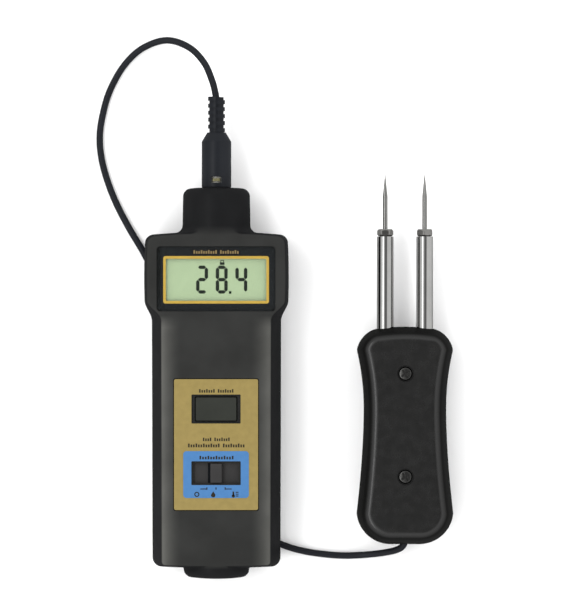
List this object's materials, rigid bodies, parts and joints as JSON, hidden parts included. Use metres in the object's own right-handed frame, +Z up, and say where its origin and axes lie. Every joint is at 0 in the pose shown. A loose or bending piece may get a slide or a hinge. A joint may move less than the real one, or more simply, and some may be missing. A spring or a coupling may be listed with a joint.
{
  "type": "moisture meter",
  "caption": "Handheld pin-type moisture meter with a display, slide switch and hold key, joined by a thin lead to a two-needle probe handle.",
  "frame": {"origin": "on the resting surface, under the middle of the box round the meter and the probe", "axes": "+Z up out of the meter's face, +Y towards the plug and the needle points, +X from the meter to the probe"},
  "size_m": [0.1537, 0.2336, 0.0295],
  "materials": {
    "case_front": "fine-textured black ABS",
    "case_rear": "fine-textured bluish black ABS",
    "foot_rubber": "matt black rubber",
    "window": "clear acrylic",
    "mask_print": "black print under acrylic",
    "gold_print": "gold print",
    "lcd_glass": "pale green reflective display",
    "lcd_ink": "dark display segments",
    "holder_plastic": "natural white nylon",
    "connector_rubber": "silicone connector strip",
    "gold_plate": "gold anodised label plate",
    "blue_print": "blue print",
    "board_green": "green solder mask",
    "chip_black": "moulded chip packages",
    "steel": "zinc plated steel",
    "tray_black": "black ABS",
    "cell_wrap": "printed cell wrap",
    "red_wire": "red wire insulation",
    "grey_wire": "grey wire insulation",
    "button_plastic": "grey-black moulded key",
    "knob_plastic": "black moulded knob",
    "plug_plastic": "moulded black plug",
    "plug_metal": "nickel plated shell",
    "brass": "brass",
    "cord_jacket": "smooth black PVC jacket",
    "handle_front": "textured black ABS",
    "handle_rear": "textured black ABS",
    "screw_black": "dark plated screws",
    "tube_chrome": "polished chrome plate",
    "cap_nickel": "nickel plated hexagon",
    "needle_steel": "hardened steel pin"
  },
  "bodies": {
    "meter": {"front_shell": "case_front", "rear_shell": "case_rear", "head_foot": "foot_rubber", "display_window": "window", "display_mask": "mask_print", "display_trim": "gold_print", "lcd_panel": "lcd_glass", "lcd_digits": "lcd_ink", "lcd_holder": "holder_plastic", "lcd_connectors": "connector_rubber", "control_plate": "gold_plate", "function_label": "blue_print", "main_board": "board_green", "board_chips": "chip_black", "board_screws": "steel", "hold_switch": "chip_black", "function_switch": "steel", "battery_tray": "tray_black", "battery_cells": "cell_wrap", "battery_springs": "steel", "battery_contacts": "steel", "battery_wires": "red_wire", "probe_socket": "tray_black", "socket_wires": "grey_wire", "case_screws": "steel"},
    "hold_key": {"hold_button": "button_plastic", "hold_plunger": "holder_plastic"},
    "function_knob": {"function_slider": "knob_plastic", "function_lever": "holder_plastic"},
    "door": {"battery_door": "case_rear", "heel_foot": "foot_rubber"},
    "probe_lead": {"plug_hood": "plug_plastic", "plug_strain_relief": "plug_plastic", "plug_shell": "plug_metal", "plug_insulator": "tray_black", "plug_pins": "brass", "plug_latch": "brass", "probe_cord": "cord_jacket", "probe_front_shell": "handle_front", "probe_rear_shell": "handle_rear", "probe_screws": "screw_black", "electrode_guides": "holder_plastic", "electrode_block": "holder_plastic", "electrode_tubes": "tube_chrome", "electrode_nuts": "brass", "solder_tags": "brass", "probe_wires": "grey_wire", "cord_clamp": "tray_black"},
    "left_pin": {"left_needle": "needle_steel"},
    "left_collar": {"left_cap": "cap_nickel"},
    "right_pin": {"right_needle": "needle_steel"},
    "right_collar": {"right_cap": "cap_nickel"}
  },
  "joints": [
    {"name": "hold_press", "type": "slide", "parent": "meter", "child": "hold_key", "axis": [0, 0, -1], "range_m": [0, 0.0008], "stiffness_N_per_m": 1500, "springref_m": -0.0005},
    {"name": "function_slide", "type": "slide", "parent": "meter", "child": "function_knob", "axis": [1, 0, 0], "range_m": [-0.0039, 0.0039]},
    {"name": "door_slide", "type": "slide", "parent": "meter", "child": "door", "axis": [0, -1, 0], "range_m": [0, 0.052]},
    {"name": "plug_pull", "type": "slide", "parent": "meter", "child": "probe_lead", "axis": [0, 1, 0], "range_m": [0, 0.01]},
    {"name": "left_cap_lift", "type": "slide", "parent": "probe_lead", "child": "left_pin", "axis": [0, 1, 0], "range_m": [0, 0.005]},
    {"name": "left_cap_turn", "type": "hinge", "parent": "left_pin", "child": "left_collar", "pos_m": [0.03728, 0.06035, 0.012], "axis": [0, 1, 0], "range_deg": [0, 3601]},
    {"name": "right_cap_lift", "type": "slide", "parent": "probe_lead", "child": "right_pin", "axis": [0, 1, 0], "range_m": [0, 0.005]},
    {"name": "right_cap_turn", "type": "hinge", "parent": "right_pin", "child": "right_collar", "pos_m": [0.05427, 0.06035, 0.012], "axis": [0, 1, 0], "range_deg": [0, 3601]}
  ],
  "couplings": [
    {"joint": "left_cap_turn", "follows": "left_cap_lift", "rad_per_m": 12566},
    {"joint": "right_cap_turn", "follows": "right_cap_lift", "rad_per_m": 12566}
  ]
}
